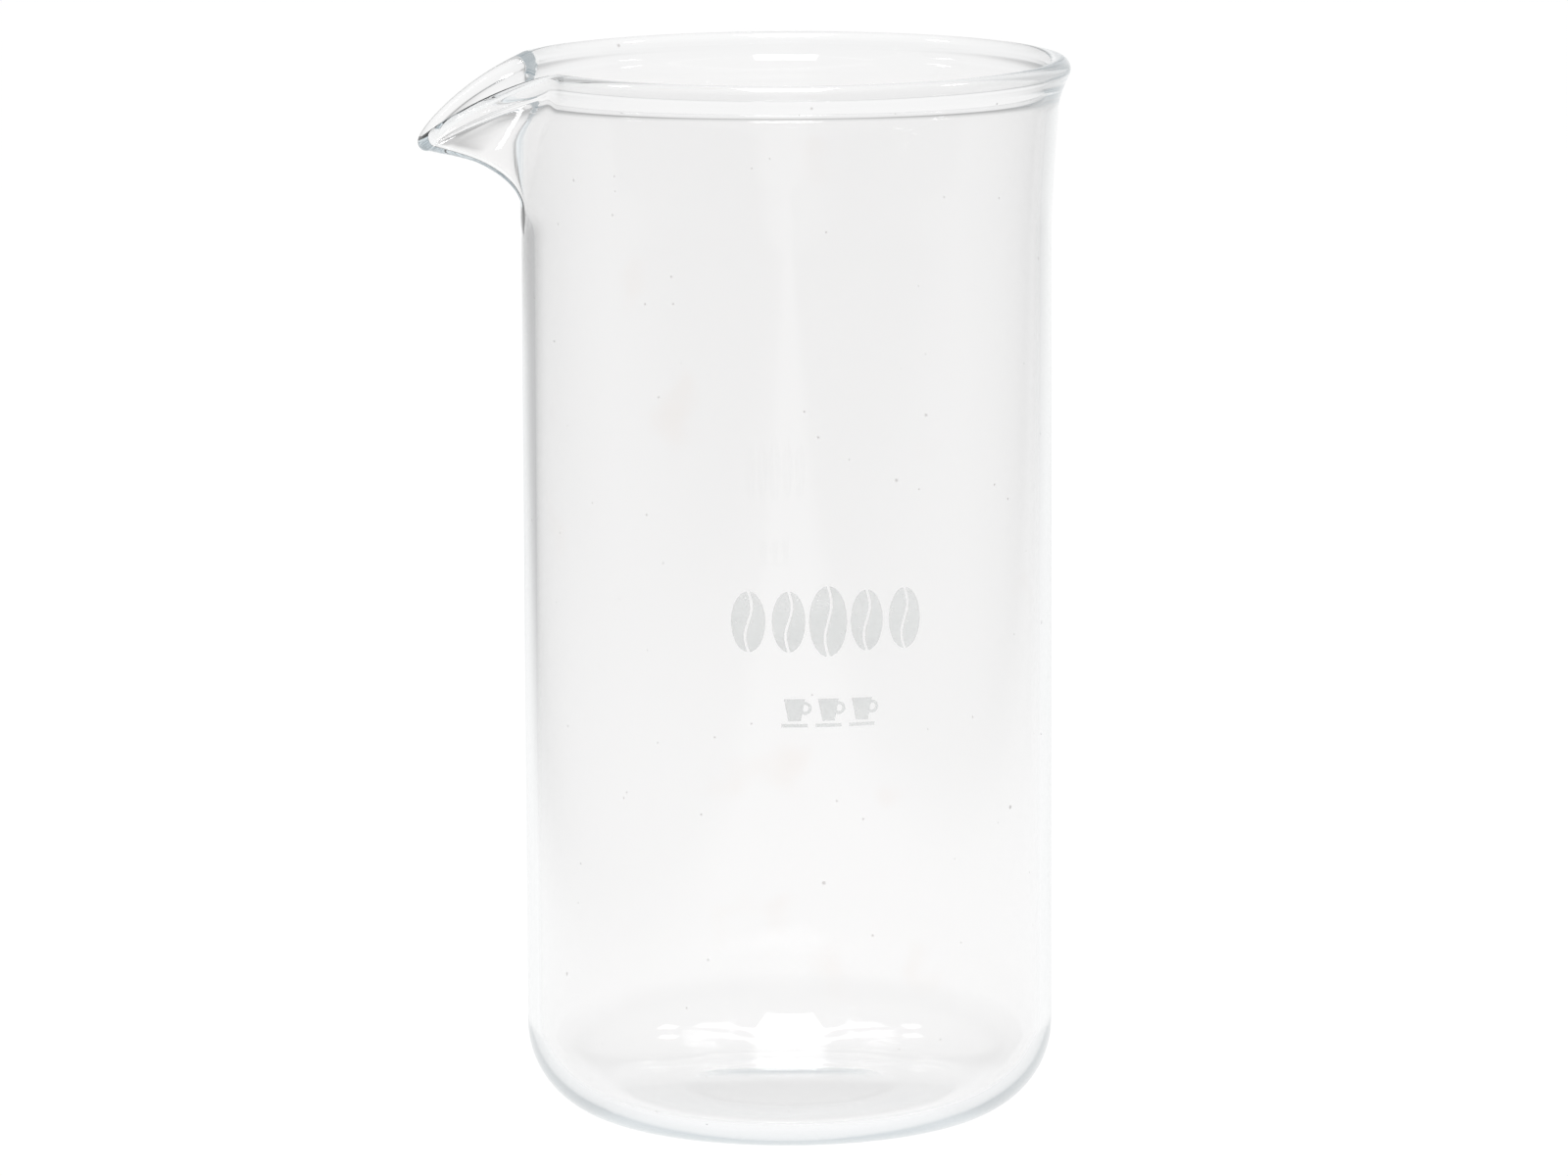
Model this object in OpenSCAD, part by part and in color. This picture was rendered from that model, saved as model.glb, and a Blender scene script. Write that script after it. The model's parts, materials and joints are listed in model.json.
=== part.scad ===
// Beaker of a coffee press: one blown glass vessel with a pouring spout, and two fired enamel prints.
// Millimetres, +Z up. The origin is on the axis at the table, the spout points along -X and the
// prints face -Y. Depths are measured down from the centre of the rim's bead, and angles from the spout.

/* [Glass body] */
// Outside diameter of the cylindrical wall
body_d = 70; // [60:1:90]
// Height of the rim above the table
body_h = 141; // [110:1:180]
// Thickness of the wall
wall_t = 1.7; // [1.4:0.1:2.2]
// Thickness of the base over its resting ring
base_t = 2.4; // [2:0.1:4]
// Outside radius of the rounded heel
heel_r = 12.2; // [9:0.2:15]
// Rise of the base at its middle
push_up = 0.5; // [0.2:0.1:0.8]

/* [Rim] */
// Radius of the fire-polished bead
bead_r = 1.5; // [1.2:0.1:1.8]
// How far the wall leans out by the time it reaches the rim
flare = 1.35; // [0.5:0.05:1.6]
// Height over which the wall leans out
flare_h = 20; // [14:1:20]

/* [Spout] */
// Reach of the spout's tip beyond the rim
spout_reach = 12; // [8:0.5:14]
// Drop of the spout's tip below the rim
spout_drop = 8.4; // [5:0.2:9]
// Depth at which the spout's keel leaves the wall
keel_depth = 19; // [15:0.5:20]
// Half of the angle that the spout takes up at the rim
spout_half = 26.5; // [18:0.5:28]
// Thickness of the drawn-out glass in the spout
spout_t = 1.15; // [1:0.05:1.5]

/* [Prints] */
// Height of the middle of the row of beans
emblem_z = 71.4; // [70:0.2:95]
// Distance between neighbouring beans
bean_pitch = 5.1; // [4.8:0.1:7]
// Height of the cup signs' saucers
cups_z = 57.6; // [35:0.2:60]
// Distance between neighbouring cup signs
cup_pitch = 4.4; // [4.4:0.1:7]
// Thickness of the fired enamel
enamel_t = 0.06; // [0.04:0.01:0.08]

/* [Hidden] */
$fn = 96;

out_r = body_d / 2;
in_r = out_r - wall_t;
mid_r = out_r - wall_t / 2;

// Base: a flat resting ring round a shallow push-up, and an inner heel of its own radius
ring_r = 14;
in_heel_r = heel_r - 1.9;
in_floor_r = in_r - in_heel_r;
arc_steps = 12;
dome_steps = 6;

// The top of the wall is shaped glass. It starts shaped_h below the bead's centre, and laps the plain
// wall by lap_h. It is lap_t thicker on each face, so that the two never share a surface.
bead_z = body_h - bead_r;
shaped_h = 24;
lap_h = 2;
lap_t = 0.05;

// The bead's centre stands bead_out outside the middle of the wall. Below it the outer face tapers
// back to the wall over taper_h, and the inner face over ease_h.
bead_out = 0.5;
spout_bead_r = 1.12;
spout_bead_out = 0.4;
bead_start = -30;
taper_h = 4.3;
ease_h = 2;

// Powers that shape the flare, the keel and the lip's drop
flare_power = 1.3;
keel_power = 2.7;
drop_power = 1.9;
// How gradually the lip's plan leaves the rim's circle, which rounds the spout's corners
edge_soft = 0.6;
// Roundness of the spout's nose, in degrees, for its plan, its drop and its foot
plan_round = 3;
drop_round = 2;
foot_round = 3;
// The spout's foot spreads this much wider than its lip, in degrees
foot_spread = 2.5;

// Angles of the shaped glass's rings, closer together round the spout, and the levels of its section
spout_span = 30;
ANGLES = concat([for (a = [-spout_span : 2.5 : spout_span]) a],
                [for (a = [spout_span + 5 : 5 : 355 - spout_span]) a]);
OUTER_DEPTHS = [24, 21, 19, 17, 15, 13, 11, 9, 7, 5.2, 3.8, 2.6, 1.6];
BEAD_ANGLES = [for (k = [0 : 7]) bead_start + k * (180 - bead_start) / 7];
INNER_DEPTHS = [0.8, 1.8, 3.2, 5, 7, 9, 11, 13, 15, 17, 19, 21, 24];
slope_step = 0.1;

// A V with a rounded tip: 1 at the spout's middle, falling to 0 at an edge angle
function rounded(a, w) = sqrt(a * a + w * w) - w;
function vee(a, w, edge) = max(0, 1 - rounded(a, w) / rounded(edge, w));
function smooth(x) = let (c = min(max(x, 0), 1)) c * c * (3 - 2 * c);
function blend(p, q, x) = p + (q - p) * x;
// Angles from the spout, between -180 and 180
function wrap(a) = a > 180 ? a - 360 : a;

function soft_start(v) = v * v * (1 + edge_soft) / (v + edge_soft);
function pulled(a) = soft_start(vee(a, plan_round, spout_half));
function drop(a) = spout_drop * pow(vee(a, drop_round, spout_half), drop_power);
function foot(a) = max(keel_depth * vee(a, foot_round, spout_half + foot_spread), drop(a) + 0.5);
function drawn(a) = smooth(vee(a, drop_round, spout_half));

// The middle of the glass at an angle and at a depth on the unpulled wall
function mid_surface(a, d) =
    let (z = drop(a) + d * (1 - drop(a) / shaped_h),
         up = min(max((foot(a) - z) / (foot(a) - drop(a)), 0), 1),
         lean = flare * pow(max(0, 1 - d / flare_h), flare_power),
         r = mid_r + lean + spout_reach * pulled(a) * pow(up, keel_power))
    [-r * cos(a), -r * sin(a), bead_z - z];
function unit(v) = v / norm(v);
function rise(a, d) = unit(mid_surface(a, d) - mid_surface(a, d + slope_step));
function outward(a, d) =
    unit(cross(mid_surface(a + slope_step, d) - mid_surface(a - slope_step, d), rise(a, d)));

function rim_r(a) = blend(bead_r, spout_bead_r, drawn(a));
function rim_out(a) = blend(bead_out, spout_bead_out, drawn(a));
function half_t(a, d) =
    blend(wall_t, spout_t, drawn(a) * smooth((keel_depth - d) / 8)) / 2 + lap_t;
function outer_half(a, d) =
    let (top = rim_out(a) + rim_r(a) * cos(bead_start) - half_t(a, 0),
         x = max(0, (taper_h - d) / (taper_h + rim_r(a) * sin(bead_start))))
    half_t(a, d) + top * pow(min(x, 1), 1.4);
function inner_half(a, d) =
    half_t(a, d) + (rim_r(a) - rim_out(a) - half_t(a, 0)) * pow(max(0, 1 - d / ease_h), 2);
function bead_point(a, turn) =
    mid_surface(a, 0) + rim_out(a) * outward(a, 0)
    + rim_r(a) * (cos(turn) * outward(a, 0) + sin(turn) * rise(a, 0));
function section(a) = concat(
    [for (d = OUTER_DEPTHS) mid_surface(a, d) + outer_half(a, d) * outward(a, d)],
    [for (turn = BEAD_ANGLES) bead_point(a, turn)],
    [for (d = INNER_DEPTHS) mid_surface(a, d) - inner_half(a, d) * outward(a, d)]);

// The flared wall, the bead and the spout: one section carried round the axis
module shaped_top() {
    rows = len(ANGLES);
    cols = len(OUTER_DEPTHS) + len(BEAD_ANGLES) + len(INNER_DEPTHS);
    polyhedron(
        points = [for (a = ANGLES) each section(wrap(a))],
        faces = [for (i = [0 : rows - 1], k = [0 : cols - 1])
            let (i2 = (i + 1) % rows, k2 = (k + 1) % cols)
            each [[i * cols + k, i * cols + k2, i2 * cols + k2],
                  [i * cols + k, i2 * cols + k2, i2 * cols + k]]],
        convexity = 6);
}

function arc(c, r, from, to) =
    [for (k = [0 : arc_steps]) let (turn = blend(from, to, k / arc_steps)) c + r * [cos(turn), sin(turn)]];
function dome(edge, level) =
    [for (k = [0 : dome_steps - 1]) let (x = k / dome_steps) [x * edge, level + push_up * (1 - x * x)]];

// The base, the heel and the plain wall: one half section turned round the axis
module plain_body() {
    top = bead_z - shaped_h + lap_h;
    rotate_extrude()
        polygon(concat(
            dome(ring_r, 0), [[ring_r, 0]],
            arc([out_r - heel_r, heel_r], heel_r, -90, 0), [[out_r, top], [in_r, top]],
            arc([in_floor_r, base_t + in_heel_r], in_heel_r, 0, -90),
            [for (k = [dome_steps - 1 : -1 : 0]) dome(in_floor_r, base_t)[k]]));
}

module glass_vessel() {
    color([0.86, 0.91, 0.91, 0.35]) {
        plain_body();
        shaped_top();
    }
}

// Lays a flat drawing on the front of the wall as a thin skin. X is across and Y is up.
module printed_on_wall() {
    intersection() {
        translate([0, -out_r / 2, 0]) rotate([90, 0, 0]) linear_extrude(out_r) children();
        difference() {
            cylinder(r = out_r + enamel_t, h = bead_z - shaped_h);
            translate([0, 0, -1]) cylinder(r = out_r, h = body_h);
        }
    }
}

// Half of an upright coffee bean: its rounded back and one bank of the curled crease
bean_crease = 0.17;
bean_curl = 0.42;
function bean_half(w, h, side) = concat(
    [for (a = [-80 : 16 : 80]) [side * w / 2 * cos(a), h / 2 * sin(a)]],
    [for (y = [1 : -0.2 : -1]) [side * bean_crease + bean_curl * sin(180 * y), y * h / 2 * sin(80)]]);
module bean(w, h) {
    for (side = [-1, 1]) polygon(bean_half(w, h, side));
}

// Five upright beans, the middle one the largest
bean_w = 4.3;
bean_h = 8;
bean_grow = [1, 1, 1.16, 1, 1];
module printed_emblem() {
    color([0.88, 0.9, 0.89])
        printed_on_wall()
            for (k = [0 : 4])
                translate([(k - 2) * bean_pitch, emblem_z])
                    bean(bean_w * bean_grow[k], bean_h * bean_grow[k]);
}

// A cup seen from the side, on a saucer
cup_w = 2.7;
cup_h = 2.9;
saucer_w = 3.4;
saucer_t = 0.45;
saucer_gap = 0.35;
handle_r = 0.85;
handle_t = 0.4;
module cup_sign() {
    translate([-saucer_w / 2, 0]) square([saucer_w, saucer_t]);
    translate([0, saucer_t + saucer_gap]) {
        difference() {
            translate([cup_w / 2, cup_h * 0.58]) circle(handle_r);
            translate([cup_w / 2, cup_h * 0.58]) circle(handle_r - handle_t);
            polygon([[-1, cup_h], [-1, 0], [cup_w * 0.3, 0], [cup_w / 2 - 0.05, cup_h]]);
        }
        polygon([[-cup_w / 2, cup_h], [-cup_w * 0.3, 0], [cup_w * 0.3, 0], [cup_w / 2, cup_h]]);
    }
}
module printed_cup_mark() {
    color([0.88, 0.9, 0.89])
        printed_on_wall()
            for (k = [-1 : 1]) translate([k * cup_pitch, cups_z]) cup_sign();
}

glass_vessel();
printed_emblem();
printed_cup_mark();
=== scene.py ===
"""Glass beaker of a coffee press: fine blown-glass mesh, enamel prints, pale floor and soft studio light.

Millimetres are used for the glass's own shape, as in the design, and MM turns them into metres.
"""
import json
import math

import bmesh
import bpy
from mathutils import Matrix, Vector


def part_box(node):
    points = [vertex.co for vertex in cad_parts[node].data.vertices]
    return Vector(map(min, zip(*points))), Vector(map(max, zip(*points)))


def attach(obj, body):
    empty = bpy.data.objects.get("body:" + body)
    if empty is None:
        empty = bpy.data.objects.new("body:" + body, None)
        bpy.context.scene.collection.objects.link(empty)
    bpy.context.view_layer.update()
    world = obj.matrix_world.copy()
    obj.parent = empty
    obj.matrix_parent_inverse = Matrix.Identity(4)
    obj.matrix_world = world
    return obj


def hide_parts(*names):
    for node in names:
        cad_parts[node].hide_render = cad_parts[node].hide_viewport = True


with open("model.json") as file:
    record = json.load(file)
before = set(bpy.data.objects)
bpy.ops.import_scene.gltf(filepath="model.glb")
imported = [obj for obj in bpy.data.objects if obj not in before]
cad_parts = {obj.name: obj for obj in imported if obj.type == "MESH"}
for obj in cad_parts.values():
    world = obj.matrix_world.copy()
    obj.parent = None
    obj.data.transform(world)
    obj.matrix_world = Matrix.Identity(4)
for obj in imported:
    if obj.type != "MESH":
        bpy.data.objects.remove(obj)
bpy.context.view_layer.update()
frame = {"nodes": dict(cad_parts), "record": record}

MM = 0.001
GLASS_NODE = "glass_vessel"
PRINT_NODES = ("printed_emblem", "printed_cup_mark")

# ---------------------------------------------------------------- the glass's sizes, from the frame
mounts = {m["name"]: m for m in frame["record"]["mounts"]}
OUT_R = mounts["frame_seat"]["dims"]["r_mm"]
WALL = OUT_R - mounts["plunger_bore"]["dims"]["r_mm"]
glass_low, glass_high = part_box(GLASS_NODE)
RIM_Z = glass_high.z / MM

BASE_T = 2.4
HEEL_R = 12.2
IN_HEEL_R = HEEL_R - 1.9
RING_R = 14.0
PUSH_UP = 0.5
# The outer face stays this far inside the CAD wall, so that the prints lie on it and never in it
SKIN_GAP = 0.03

BEAD_R = 1.5
FLARE, FLARE_H, FLARE_POWER = 1.35, 20.0, 1.3
SHAPED_H = 24.0
BEAD_Z = RIM_Z - BEAD_R

SPOUT_REACH, SPOUT_DROP = 12.0, 8.4
KEEL_DEPTH, KEEL_POWER = 19.0, 2.7
SPOUT_HALF, FOOT_SPREAD = 26.5, 2.5
SPOUT_T = 1.15
PLAN_ROUND, EDGE_SOFT = 3.0, 0.6
DROP_ROUND, DROP_POWER = 2.0, 1.9
FOOT_ROUND = 3.0
# The drawn-out glass thins over this height above the keel's foot
THIN_OVER = 8.0

BEAD_OUT, SPOUT_BEAD_R, SPOUT_BEAD_OUT = 0.5, 1.12, 0.4
BEAD_START = -30.0
TAPER_H, EASE_H = 4.3, 2.0
TAPER_POWER = 1.4
# The skin gap fades in from this depth, over this further depth
GAP_FROM, GAP_OVER = 16.0, 6.0

# Unevenness of the inside: (millimetres, lobes round the glass, height per radian, phase)
RIPPLES = ((0.012, 2, 31, 0.0), (0.006, 5, -23, 1.3))
# It fades in over this depth under the bead, and over these radii from the middle of the floor
RIPPLE_DEPTH = 8.0
RIPPLE_FROM_R, RIPPLE_OVER_R = 20.0, 10.0

# Meridians within SPOUT_SPAN degrees of the spout, and over the rest of the circle
SPOUT_SPAN = 32
NEAR_STEPS, FAR_STEPS = 112, 224
# Steps of the half section
DOME_STEPS, RING_STEPS, HEEL_STEPS, WALL_STEPS = 8, 6, 28, 34
FLOOR_STEPS, SHAPED_STEPS, BEAD_STEPS = 12, 34, 26
# The shaped top's levels crowd towards the bead by this power
CROWDING = 1.25


# ---------------------------------------------------------------- the glass's shape
def vee(a, w, edge):
    """1 at the spout's middle, falling in a V with a rounded tip to 0 at the edge angle."""
    def rounded(x):
        return math.sqrt(x * x + w * w) - w
    return max(0.0, 1 - rounded(a) / rounded(edge))


def smooth(x):
    x = min(max(x, 0.0), 1.0)
    return x * x * (3 - 2 * x)


def soft_start(x):
    """x, but leaving 0 along a curve, so that the spout's corners are round."""
    return x * x * (1 + EDGE_SOFT) / (x + EDGE_SOFT)


def mix(p, q, x):
    return p + (q - p) * x


def drop(a):
    return SPOUT_DROP * vee(a, DROP_ROUND, SPOUT_HALF) ** DROP_POWER


def drawn(a):
    return smooth(vee(a, DROP_ROUND, SPOUT_HALF))


def mid_surface(a, d):
    """The middle of the glass at an angle from the spout, in degrees, and a depth on the unpulled wall."""
    fall = drop(a)
    foot = max(KEEL_DEPTH * vee(a, FOOT_ROUND, SPOUT_HALF + FOOT_SPREAD), fall + 0.5)
    depth = fall + d * (1 - fall / SHAPED_H)
    up = min(max((foot - depth) / (foot - fall), 0.0), 1.0)
    lean = FLARE * max(0.0, 1 - d / FLARE_H) ** FLARE_POWER
    pulled = soft_start(vee(a, PLAN_ROUND, SPOUT_HALF))
    r = OUT_R - WALL / 2 + lean + SPOUT_REACH * pulled * up ** KEEL_POWER
    t = math.radians(a)
    return Vector((-r * math.cos(t), -r * math.sin(t), BEAD_Z - depth))


def local_axes(a, d, step=0.1):
    """(outward normal, direction up the wall) of the middle surface."""
    rise = (mid_surface(a, d) - mid_surface(a, d + step)).normalized()
    along = mid_surface(a + step, d) - mid_surface(a - step, d)
    return along.cross(rise).normalized(), rise


def half_thickness(a, d):
    return mix(WALL, SPOUT_T, drawn(a) * smooth((KEEL_DEPTH - d) / THIN_OVER)) / 2


def ripple(a, z):
    """Slight unevenness of the blown wall's inside, in millimetres."""
    t = math.radians(a)
    return sum(size * math.sin(lobes * t + z / height + phase) for size, lobes, height, phase in RIPPLES)


def shaped_section(a, outer_depths, bead_turns, inner_depths):
    """Points of the flared wall and bead at one angle: up the outside, over the bead, down the inside."""
    bead_r = mix(BEAD_R, SPOUT_BEAD_R, drawn(a))
    bead_out = mix(BEAD_OUT, SPOUT_BEAD_OUT, drawn(a))
    start = math.radians(BEAD_START)
    swell = bead_out + bead_r * math.cos(start) - half_thickness(a, 0)
    points = []
    for d in outer_depths:
        normal, _ = local_axes(a, d)
        x = max(0.0, (TAPER_H - d) / (TAPER_H + bead_r * math.sin(start)))
        half = half_thickness(a, d) + swell * min(x, 1.0) ** TAPER_POWER
        gap = SKIN_GAP * smooth((d - GAP_FROM) / GAP_OVER)
        points.append(mid_surface(a, d) + normal * (half - gap))
    normal, rise = local_axes(a, 0)
    centre = mid_surface(a, 0) + normal * bead_out
    for turn in bead_turns:
        t = math.radians(turn)
        points.append(centre + (normal * math.cos(t) + rise * math.sin(t)) * bead_r)
    for d in inner_depths:
        normal, _ = local_axes(a, d)
        ease = (bead_r - bead_out - half_thickness(a, 0)) * max(0.0, 1 - d / EASE_H) ** 2
        point = mid_surface(a, d)
        half = half_thickness(a, d) + ease + ripple(a, point.z) * smooth(d / RIPPLE_DEPTH)
        points.append(point - normal * half)
    return points


def steps(first, last, count):
    """count + 1 evenly spaced numbers, both ends included."""
    return [mix(first, last, k / count) for k in range(count + 1)]


def arc(cx, cz, r, first, last, count):
    return [(cx + r * math.cos(math.radians(t)), cz + r * math.sin(math.radians(t)))
            for t in steps(first, last, count)]


def plain_profiles():
    """(outer, inner) half sections of the base, heel and wall, as (radius, height), without the axis."""
    r_out = OUT_R - SKIN_GAP
    in_floor_r = OUT_R - WALL - IN_HEEL_R
    in_heel_z = BASE_T + IN_HEEL_R
    top = BEAD_Z - SHAPED_H
    outer = [(RING_R * x, PUSH_UP * (1 - x * x)) for x in steps(0.1, 0.9, DOME_STEPS)]
    outer += [(r, 0.0) for r in steps(RING_R, OUT_R - HEEL_R, RING_STEPS)[:-1]]
    outer += arc(r_out - HEEL_R, HEEL_R, HEEL_R, -90, 0, HEEL_STEPS)
    outer += [(r_out, z) for z in steps(HEEL_R, top, WALL_STEPS)[1:-1]]
    inner = [(OUT_R - WALL, z) for z in steps(top, in_heel_z, WALL_STEPS)[1:-1]]
    inner += arc(in_floor_r, in_heel_z, IN_HEEL_R, 0, -90, HEEL_STEPS)
    inner += [(in_floor_r * x, BASE_T + PUSH_UP * (1 - x * x)) for x in steps(0.95, 0.06, FLOOR_STEPS)]
    return outer, inner


def ring_angles():
    """Angles of the mesh's meridians, closer together round the spout."""
    near = steps(-SPOUT_SPAN, SPOUT_SPAN, NEAR_STEPS)
    return near + steps(SPOUT_SPAN, 360 - SPOUT_SPAN, FAR_STEPS)[1:-1]


def glass_columns():
    """The half section at each meridian, from under the base, over the bead, to the inside floor."""
    outer, inner = plain_profiles()
    outer_depths = [SHAPED_H * (1 - x) ** CROWDING for x in steps(0, 0.92, SHAPED_STEPS)]
    bead_turns = steps(BEAD_START, 180, BEAD_STEPS)
    inner_depths = [SHAPED_H * x ** CROWDING for x in steps(0.08, 1, SHAPED_STEPS)]
    columns = []
    for a in ring_angles():
        a = a - 360 if a > 180 else a
        t = math.radians(a)
        radial = Vector((-math.cos(t), -math.sin(t), 0))
        column = [radial * r + Vector((0, 0, z)) for r, z in outer]
        column += shaped_section(a, outer_depths, bead_turns, inner_depths)
        for r, z in inner:
            uneven = ripple(a, z) * smooth((r - RIPPLE_FROM_R) / RIPPLE_OVER_R)
            column.append(radial * (r - uneven) + Vector((0, 0, z)))
        columns.append(column)
    return columns


def build_glass():
    bm = bmesh.new()
    columns = [[bm.verts.new(p * MM) for p in column] for column in glass_columns()]
    under = bm.verts.new((0, 0, PUSH_UP * MM))
    floor = bm.verts.new((0, 0, (BASE_T + PUSH_UP) * MM))
    for left, right in zip(columns, columns[1:] + columns[:1]):
        bm.faces.new((under, right[0], left[0]))
        for k in range(len(left) - 1):
            bm.faces.new((left[k], right[k], right[k + 1], left[k + 1]))
        bm.faces.new((left[-1], right[-1], floor))
    bmesh.ops.recalc_face_normals(bm, faces=bm.faces)
    for face in bm.faces:
        face.smooth = True
    mesh = bpy.data.meshes.new("blown_glass")
    bm.to_mesh(mesh)
    bm.free()
    glass = bpy.data.objects.new("blown_glass", mesh)
    bpy.context.scene.collection.objects.link(glass)
    return glass


# ---------------------------------------------------------------- materials
class Maths:
    """Arithmetic in a node tree: each call adds a node and returns its output."""

    def __init__(self, tree):
        self.tree = tree

    def node(self, kind, **settings):
        node = self.tree.nodes.new(kind)
        for name, value in settings.items():
            setattr(node, name, value)
        return node

    def set(self, socket, value):
        if isinstance(value, (int, float, tuple)):
            socket.default_value = value
        else:
            self.tree.links.new(value, socket)

    def op(self, operation, *values):
        node = self.node("ShaderNodeMath", operation=operation)
        for socket, value in zip(node.inputs, values):
            self.set(socket, value)
        return node.outputs[0]

    def ramp(self, value, low, high, at_low, at_high, kind="SMOOTHSTEP"):
        node = self.node("ShaderNodeMapRange", interpolation_type=kind)
        for name, v in (("Value", value), ("From Min", low), ("From Max", high),
                        ("To Min", at_low), ("To Max", at_high)):
            self.set(node.inputs[name], v)
        return node.outputs["Result"]

    def noise(self, vector, scale, detail=2.0, rough=0.5):
        node = self.node("ShaderNodeTexNoise")
        self.set(node.inputs["Vector"], vector)
        for name, v in (("Scale", scale), ("Detail", detail), ("Roughness", rough)):
            self.set(node.inputs[name], v)
        return node.outputs["Fac"]

    def between(self, factor, first, second):
        """The colour between two colours at a factor."""
        node = self.node("ShaderNodeMix", data_type="RGBA")
        self.set(node.inputs[0], factor)
        self.set(node.inputs[6], first)
        self.set(node.inputs[7], second)
        return node.outputs[2]


# The renderer drops light after its fourth reflection inside the glass. In its place the glass gives off
# a painted glow, at these strengths.
LAST_REFLECTION = 4.5
TIP_GLOW, CORNER_GLOW, BODY_GLOW, BASE_GLOW = 0.05, 1.1, 0.7, 0.88
PAINTED_GLOW_COLOUR = (0.95, 0.97, 0.98, 1)

GLASS_IOR = 1.474
GLASS_TINTS = (0.974, 0.969, 0.966, 1), (0.988, 0.98, 0.977, 1)
ABSORB_COLOUR, ABSORB_DENSITY = (0.4, 0.52, 0.58, 1), 21.0
STAIN_COLOUR, STAIN_COVER = (0.93, 0.87, 0.83, 1), 0.35
DUST_COLOUR, DUST_COVER, DUST_ROUGH = (0.3, 0.27, 0.25, 1), 0.6, 0.4
# Two kinds of dust: (cells per metre, radius of a speck in its cell)
COARSE_DUST, FINE_DUST = (95.0, 0.034), (210.0, 0.045)
SMUDGE_ROUGH = 0.03
# Height of the waves in the glass's surface, in metres. Squeezing the height that their noise is
# read at draws them out up the wall.
WAVINESS = 0.000012
WAVE_SQUEEZE = 0.22

ENAMEL_TINTS = (0.86, 0.89, 0.88, 1), (0.93, 0.94, 0.94, 1)
MOTTLE_COLOUR, MOTTLE_COVER = (0.8, 0.84, 0.83, 1), 0.3
PINHOLES = 1500.0, 0.15
ENAMEL_COVER, COVER_SPREAD = 0.32, 0.05
ENAMEL_GRAIN = 0.00003


def new_material(name):
    """(material, its Principled shader, its output node, arithmetic in its tree)"""
    material = bpy.data.materials.new(name)
    material.use_nodes = True
    nodes = material.node_tree.nodes
    nodes.clear()
    out = nodes.new("ShaderNodeOutputMaterial")
    shader = nodes.new("ShaderNodeBsdfPrincipled")
    material.node_tree.links.new(shader.outputs["BSDF"], out.inputs["Surface"])
    return material, shader, out, Maths(material.node_tree)


def painted_glow_strength(maths, place):
    """Strength of the painted glow that the glass gives off where the renderer drops the light inside it.

    The glow is painted weak on the pinched tip and keel of the spout, so they stay dark with painted
    shade. It is painted stronger on the base than on the wall.
    """
    depth = maths.node("ShaderNodeLightPath").outputs["Glossy Depth"]
    dropped = maths.op("GREATER_THAN", depth, LAST_REFLECTION)
    split = maths.node("ShaderNodeSeparateXYZ")
    maths.set(split.inputs[0], place)
    x, y, z = split.outputs
    forward = maths.op("MAXIMUM", maths.op("ABSOLUTE", x), 0.001)
    aside = maths.op("DIVIDE", maths.op("ABSOLUTE", y), forward)
    pinch = maths.ramp(aside, 0.36, 0.48, TIP_GLOW, CORNER_GLOW)
    high = maths.ramp(z, 0.1, 0.115, 0.0, 1.0)
    outward = maths.ramp(x, -0.03, -0.02, 1.0, 0.0)
    ahead = maths.ramp(aside, 0.6, 1.0, 1.0, 0.0)
    at_spout = maths.op("MULTIPLY", maths.op("MULTIPLY", high, outward), ahead)
    from_middle = maths.node("ShaderNodeVectorMath", operation="LENGTH")
    maths.set(from_middle.inputs[0], place)
    body = maths.ramp(from_middle.outputs["Value"], 0.02, 0.026, BASE_GLOW, BODY_GLOW)
    level = maths.ramp(at_spout, 0.0, 1.0, body, pinch, "LINEAR")
    return maths.op("MULTIPLY", dropped, level)


def specks(maths, place, scale, size):
    """1 on scattered round specks, 0 between them."""
    cells = maths.node("ShaderNodeTexVoronoi")
    maths.set(cells.inputs["Vector"], place)
    cells.inputs["Scale"].default_value = scale
    spot = maths.ramp(cells.outputs["Distance"], size * 0.5, size, 1.0, 0.0)
    chosen = maths.op("GREATER_THAN", cells.outputs["Color"], 0.5)
    return maths.op("MULTIPLY", spot, chosen)


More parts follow.
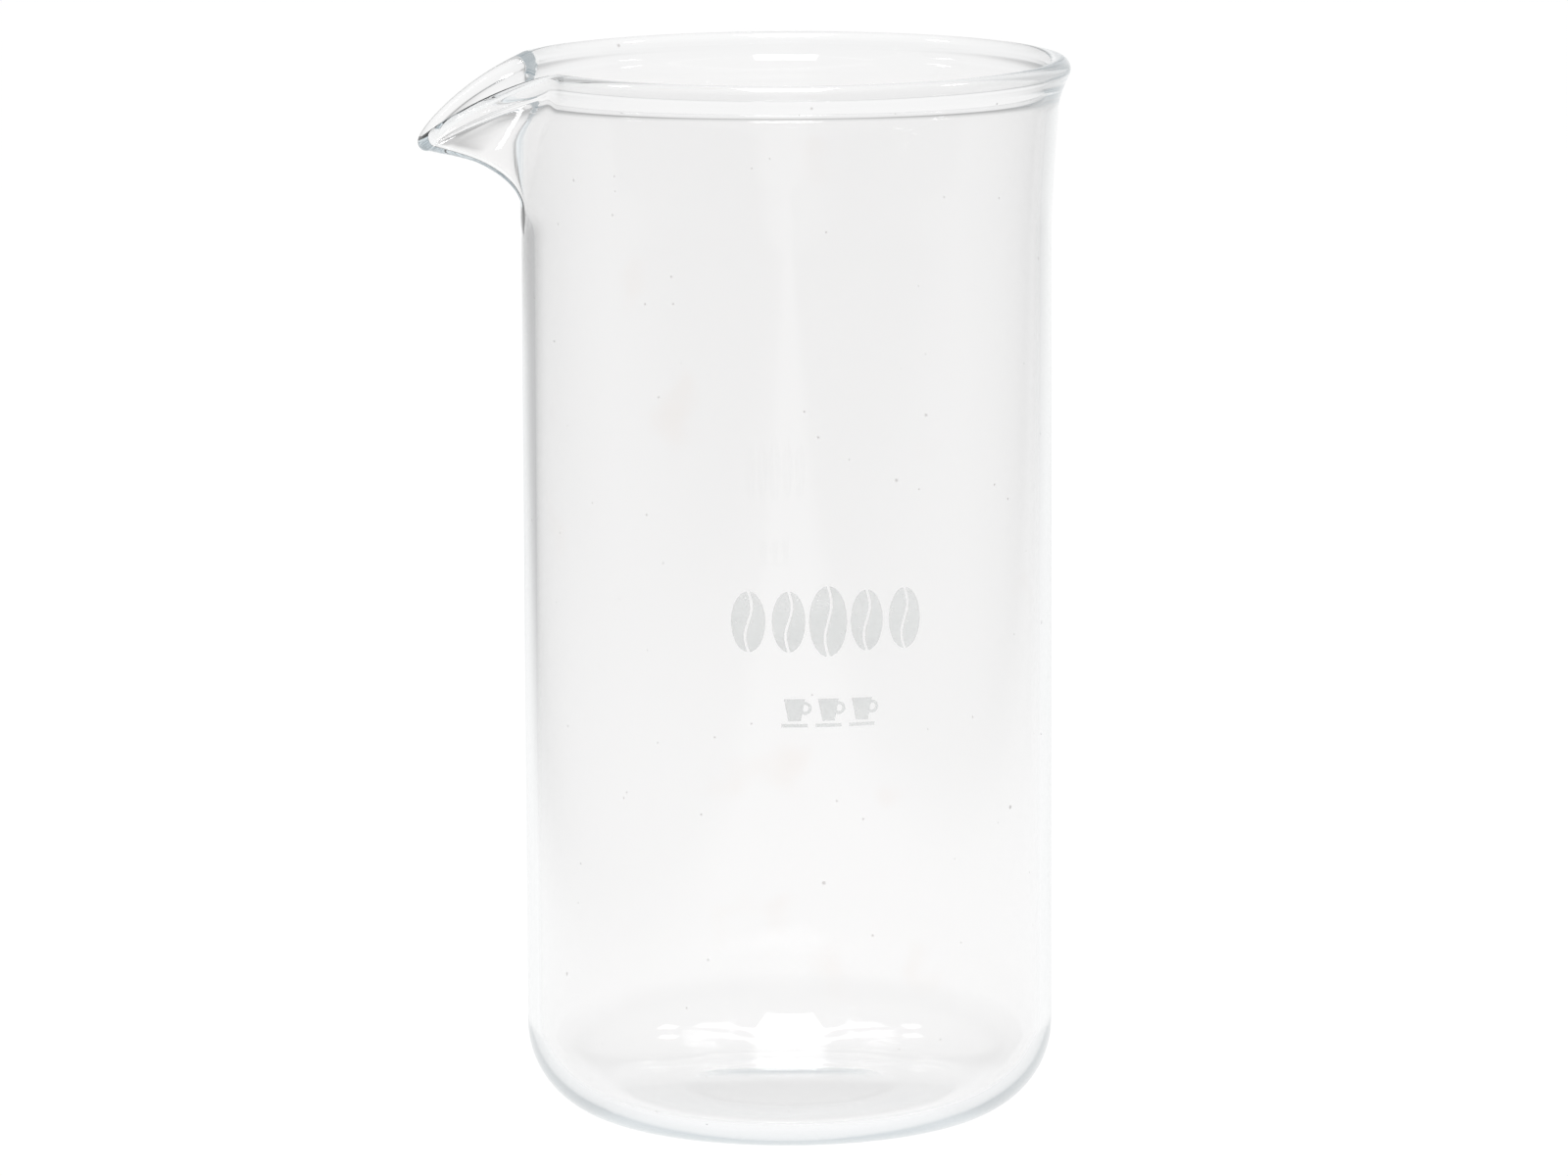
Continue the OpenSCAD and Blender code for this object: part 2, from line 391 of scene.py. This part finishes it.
def glass_material():
    """Clear glass with dust, faint stains and smudges, the slight waviness of drawn tube, and a painted
    glow.
    """
    material, shader, out, maths = new_material("clear_borosilicate")
    shader.inputs["Transmission Weight"].default_value = 1.0
    shader.inputs["IOR"].default_value = GLASS_IOR
    place = maths.node("ShaderNodeTexCoord").outputs["Object"]

    blot = maths.noise(place, 38.0, 3.0)
    stain = maths.ramp(blot, 0.66, 0.74, 0.0, 1.0)
    dust = maths.op("MAXIMUM", specks(maths, place, *COARSE_DUST), specks(maths, place, *FINE_DUST))
    streak = maths.noise(place, 16.0, 2.0)
    colour = maths.between(streak, *GLASS_TINTS)
    colour = maths.between(maths.op("MULTIPLY", stain, STAIN_COVER), colour, STAIN_COLOUR)
    colour = maths.between(maths.op("MULTIPLY", dust, DUST_COVER), colour, DUST_COLOUR)
    maths.set(shader.inputs["Base Color"], colour)

    smudge = maths.ramp(maths.noise(place, 21.0, 4.0, 0.62), 0.58, 0.74, 0.0, SMUDGE_ROUGH)
    gritty = maths.op("MULTIPLY", dust, DUST_ROUGH)
    maths.set(shader.inputs["Roughness"], maths.op("MAXIMUM", smudge, gritty))

    drawn_out = maths.node("ShaderNodeMapping")
    maths.set(drawn_out.inputs["Vector"], place)
    drawn_out.inputs["Scale"].default_value = (1.0, 1.0, WAVE_SQUEEZE)
    bump = maths.node("ShaderNodeBump")
    maths.set(bump.inputs["Height"], maths.noise(drawn_out.outputs[0], 75.0, 1.0))
    bump.inputs["Strength"].default_value = 1.0
    bump.inputs["Distance"].default_value = WAVINESS
    maths.set(shader.inputs["Normal"], bump.outputs[0])

    # Painted glow: the glass gives off light where the renderer drops it, weak at the spout's tip and keel
    shader.inputs["Emission Color"].default_value = PAINTED_GLOW_COLOUR
    maths.set(shader.inputs["Emission Strength"], painted_glow_strength(maths, place))
    volume = maths.node("ShaderNodeVolumeAbsorption")
    volume.inputs["Color"].default_value = ABSORB_COLOUR
    volume.inputs["Density"].default_value = ABSORB_DENSITY
    maths.set(out.inputs["Volume"], volume.outputs["Volume"])
    return material


def enamel_material():
    """Pale fired enamel, slightly see-through, with the mottling and pinholes of a screen print."""
    material, shader, _, maths = new_material("fired_enamel")
    place = maths.node("ShaderNodeTexCoord").outputs["Object"]
    mottle = maths.noise(place, 900.0, 3.0, 0.6)
    cloud = maths.noise(place, 140.0, 2.0)
    colour = maths.between(cloud, *ENAMEL_TINTS)
    colour = maths.between(maths.op("MULTIPLY", mottle, MOTTLE_COVER), colour, MOTTLE_COLOUR)
    maths.set(shader.inputs["Base Color"], colour)
    maths.set(shader.inputs["Roughness"], maths.ramp(mottle, 0.3, 0.7, 0.36, 0.52, "LINEAR"))
    unbroken = maths.op("SUBTRACT", 1.0, specks(maths, place, *PINHOLES))
    cover = maths.ramp(cloud, 0.35, 0.65, ENAMEL_COVER - COVER_SPREAD, ENAMEL_COVER + COVER_SPREAD)
    maths.set(shader.inputs["Alpha"], maths.op("MULTIPLY", cover, unbroken))
    bump = maths.node("ShaderNodeBump")
    maths.set(bump.inputs["Height"], mottle)
    bump.inputs["Strength"].default_value = 0.5
    bump.inputs["Distance"].default_value = ENAMEL_GRAIN
    maths.set(shader.inputs["Normal"], bump.outputs[0])
    return material


# ---------------------------------------------------------------- stage, light and camera
VIEW_TURN = 8.5
CAMERA_DISTANCE = 1.227
CAMERA_HEIGHT = 0.264
CAMERA_PITCH = 8.97
CAMERA_ROLL = -0.24
CAMERA_YAW = 0.0245
LENS = 215.0
FLOOR_R = 8.0
# The floor lies this much under the base, in millimetres, so that the two never share a plane
FLOOR_GAP = 0.02
TO_VIEW = Matrix.Rotation(math.radians(-VIEW_TURN), 4, "Z")


def add_camera():
    data = bpy.data.cameras.new("camera")
    data.sensor_width = 36
    data.lens = LENS
    data.clip_end = 50
    camera = bpy.data.objects.new("camera", data)
    look = (Matrix.Rotation(math.radians(CAMERA_YAW), 4, "Z")
            @ Matrix.Rotation(math.radians(90 - CAMERA_PITCH), 4, "X")
            @ Matrix.Rotation(math.radians(CAMERA_ROLL), 4, "Z"))
    camera.matrix_world = TO_VIEW @ Matrix.Translation((0, -CAMERA_DISTANCE, CAMERA_HEIGHT)) @ look
    bpy.context.scene.collection.objects.link(camera)
    bpy.context.scene.camera = camera


def view_xy(maths, vector):
    """(sideways, away, up) parts of a vector, as the camera faces."""
    split = maths.node("ShaderNodeSeparateXYZ")
    maths.set(split.inputs[0], vector)
    c, s = math.cos(math.radians(VIEW_TURN)), math.sin(math.radians(VIEW_TURN))
    x, y, z = split.outputs
    side = maths.op("SUBTRACT", maths.op("MULTIPLY", x, c), maths.op("MULTIPLY", y, s))
    away = maths.op("ADD", maths.op("MULTIPLY", x, s), maths.op("MULTIPLY", y, c))
    return side, away, z


# The floor's painted glow is brightest in the wedge that the camera looks along, and falls off to each
# side of it
LEFT_LEVEL, RIGHT_LEVEL, FRONT_LEVEL = 0.58, 0.74, 0.68
LEFT_FALL = (0.086, 0.19)
RIGHT_FALL = (0.088, 0.35)
# Painted brightness of the floor's glow beside the glass, and FLOOR_FADE metres behind it
NEAR_GLOW, FAR_GLOW = 1.045, 1.005
FLOOR_FADE = 1.2
# Brightness of the studio's walls and ceiling, high above the horizon
WALL_LEVEL, TOP_LEVEL = 0.5, 0.68


def side_level(maths, slope):
    """Brightness by the sideways slope from the wedge's tip."""
    left = maths.ramp(slope, -LEFT_FALL[1], -LEFT_FALL[0], LEFT_LEVEL, 1.0)
    right = maths.ramp(slope, RIGHT_FALL[0], RIGHT_FALL[1], 1.0, RIGHT_LEVEL)
    return maths.op("MULTIPLY", left, right)


def add_floor():
    bm = bmesh.new()
    bmesh.ops.create_circle(bm, cap_ends=True, segments=96, radius=FLOOR_R)
    mesh = bpy.data.meshes.new("floor")
    bm.to_mesh(mesh)
    bm.free()
    floor = bpy.data.objects.new("floor", mesh)
    floor.location.z = -FLOOR_GAP * MM
    bpy.context.scene.collection.objects.link(floor)
    material = bpy.data.materials.new("pale_floor")
    material.use_nodes = True
    material.node_tree.nodes.clear()
    maths = Maths(material.node_tree)
    place = maths.node("ShaderNodeTexCoord")
    side, away, _ = view_xy(maths, place.outputs["Object"])
    reach = maths.op("ABSOLUTE", maths.op("ADD", away, CAMERA_DISTANCE))
    level = side_level(maths, maths.op("DIVIDE", side, maths.op("MAXIMUM", reach, 0.2)))
    front = maths.ramp(away, -0.6, -0.05, FRONT_LEVEL, 1.0)
    near = maths.ramp(away, 0.0, FLOOR_FADE, NEAR_GLOW, FAR_GLOW, "LINEAR")
    # The floor isn't lit by the lamps: it glows, and its strength paints a pool of light, darker to the
    # sides and in front
    glow = maths.node("ShaderNodeEmission")
    maths.set(glow.inputs["Strength"], maths.op("MULTIPLY", level, maths.op("MULTIPLY", front, near)))
    out = maths.node("ShaderNodeOutputMaterial")
    maths.set(out.inputs["Surface"], glow.outputs[0])
    mesh.materials.append(material)


def add_world():
    world = bpy.data.worlds.new("studio")
    bpy.context.scene.world = world
    world.use_nodes = True
    world.node_tree.nodes.clear()
    maths = Maths(world.node_tree)
    place = maths.node("ShaderNodeTexCoord")
    side, away, up = view_xy(maths, place.outputs["Generated"])
    slope = maths.op("DIVIDE", side, maths.op("MAXIMUM", maths.op("ABSOLUTE", away), 0.001))
    slope = maths.op("MULTIPLY", slope, FLOOR_R / (FLOOR_R + CAMERA_DISTANCE))
    front = maths.ramp(away, -0.1, 0.0, FRONT_LEVEL, 1.0)
    horizon = maths.op("MULTIPLY", side_level(maths, slope), front)
    glow = maths.op("MULTIPLY", horizon, maths.ramp(up, 0.14, 0.36, 1.0, WALL_LEVEL))
    top = maths.ramp(up, 0.7, 0.95, WALL_LEVEL, TOP_LEVEL)
    level = maths.ramp(up, 0.35, 0.55, glow, top)
    back = maths.node("ShaderNodeBackground")
    back.inputs["Color"].default_value = (1, 1, 1, 1)
    maths.set(back.inputs["Strength"], level)
    out = maths.node("ShaderNodeOutputWorld")
    maths.set(out.inputs["Surface"], back.outputs[0])


# (name, place, aim, size, power); places and aims are (sideways, away, up) as the camera faces
LAMPS = (
    ("top_softbox", (0, -0.15, 1.1), (0, 0, 0.1), (0.34, 0.7), 6.3),
    ("left_lamp", (-0.6, 0.1, 0.85), (0, 0, 0.05), (0.11, 0.11), 1.0),
    ("right_lamp", (0.6, 0.1, 0.85), (0, 0, 0.05), (0.11, 0.11), 1.0),
)


def add_area_light(name, place, aim, size, power):
    """A rectangular lamp, which the camera doesn't see."""
    data = bpy.data.lights.new(name, "AREA")
    data.shape = "RECTANGLE"
    data.size, data.size_y = size
    data.energy = power
    light = bpy.data.objects.new(name, data)
    place, aim = TO_VIEW @ Vector(place), TO_VIEW @ Vector(aim)
    light.location = place
    light.rotation_euler = (aim - place).to_track_quat("-Z", "Y").to_euler()
    light.visible_camera = False
    bpy.context.scene.collection.objects.link(light)


def main():
    bpy.context.scene.view_settings.view_transform = "Standard"
    add_camera()
    add_world()
    add_floor()
    for lamp in LAMPS:
        add_area_light(*lamp)

    glass = build_glass()
    glass.data.materials.append(glass_material())
    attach(glass, "root")
    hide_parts(GLASS_NODE)

    enamel = enamel_material()
    for name in PRINT_NODES:
        node = frame["nodes"][name]
        node.data.materials.clear()
        node.data.materials.append(enamel)


main()
